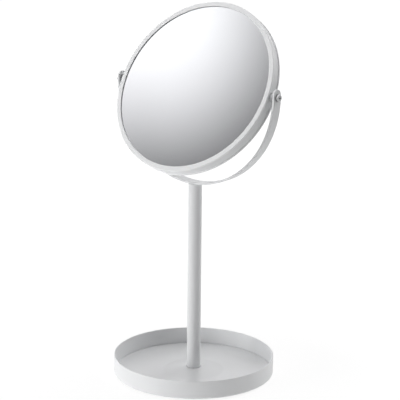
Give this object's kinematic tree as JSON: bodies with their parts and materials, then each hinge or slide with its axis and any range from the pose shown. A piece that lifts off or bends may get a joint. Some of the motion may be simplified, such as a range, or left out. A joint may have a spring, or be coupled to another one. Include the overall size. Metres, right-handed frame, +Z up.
{
  "type": "tilting vanity mirror with tray base",
  "caption": "Free-standing round vanity mirror that turns in a half-ring yoke on a tube post, with a shallow round tray as its base.",
  "frame": {"origin": "centre of the footprint, on the surface that the feet stand on, on the post's axis", "axes": "+Z up along the post, -Y the way the plain glass faces, X along the pivot axis"},
  "size_m": [0.1852, 0.153, 0.3518],
  "materials": {
    "white_powder_coat": "light grey-white satin powder coat with a very fine orange-peel",
    "mirror_glass": "back-silvered float glass, polished",
    "chrome_screw": "bright nickel-chrome plated screw heads",
    "zinc_steel": "zinc plated steel",
    "white_plastic": "moulded plastic",
    "nylon": "grey nylon",
    "backing_foam": "closed-cell foam sheet",
    "grey_rubber": "self-adhesive anti-slip pads"
  },
  "bodies": {
    "stand": {"tray_base": "white_powder_coat", "anti_slip_feet": "grey_rubber", "post_tube": "white_powder_coat", "post_lower_insert": "zinc_steel", "base_screw": "zinc_steel", "post_top_plug": "white_powder_coat", "yoke": "white_powder_coat"},
    "mirror_head": {"rim_hoop": "white_powder_coat", "front_bezel_ring": "white_powder_coat", "rear_bezel_ring": "white_powder_coat", "front_mirror_glass": "mirror_glass", "rear_mirror_glass": "mirror_glass", "glass_carrier_ring": "white_plastic", "foam_backing_disc": "backing_foam", "right_pivot_bush": "white_powder_coat", "right_spring_washer": "zinc_steel", "right_glide_washer": "nylon", "right_pivot_screw": "chrome_screw", "left_pivot_bush": "white_powder_coat", "left_spring_washer": "zinc_steel", "left_glide_washer": "nylon", "left_pivot_screw": "chrome_screw"}
  },
  "joints": [
    {"name": "mirror_tilt", "type": "hinge", "parent": "stand", "child": "mirror_head", "pos_m": [0, 0, 0.2762], "axis": [1, 0, 0], "continuous": true}
  ]
}
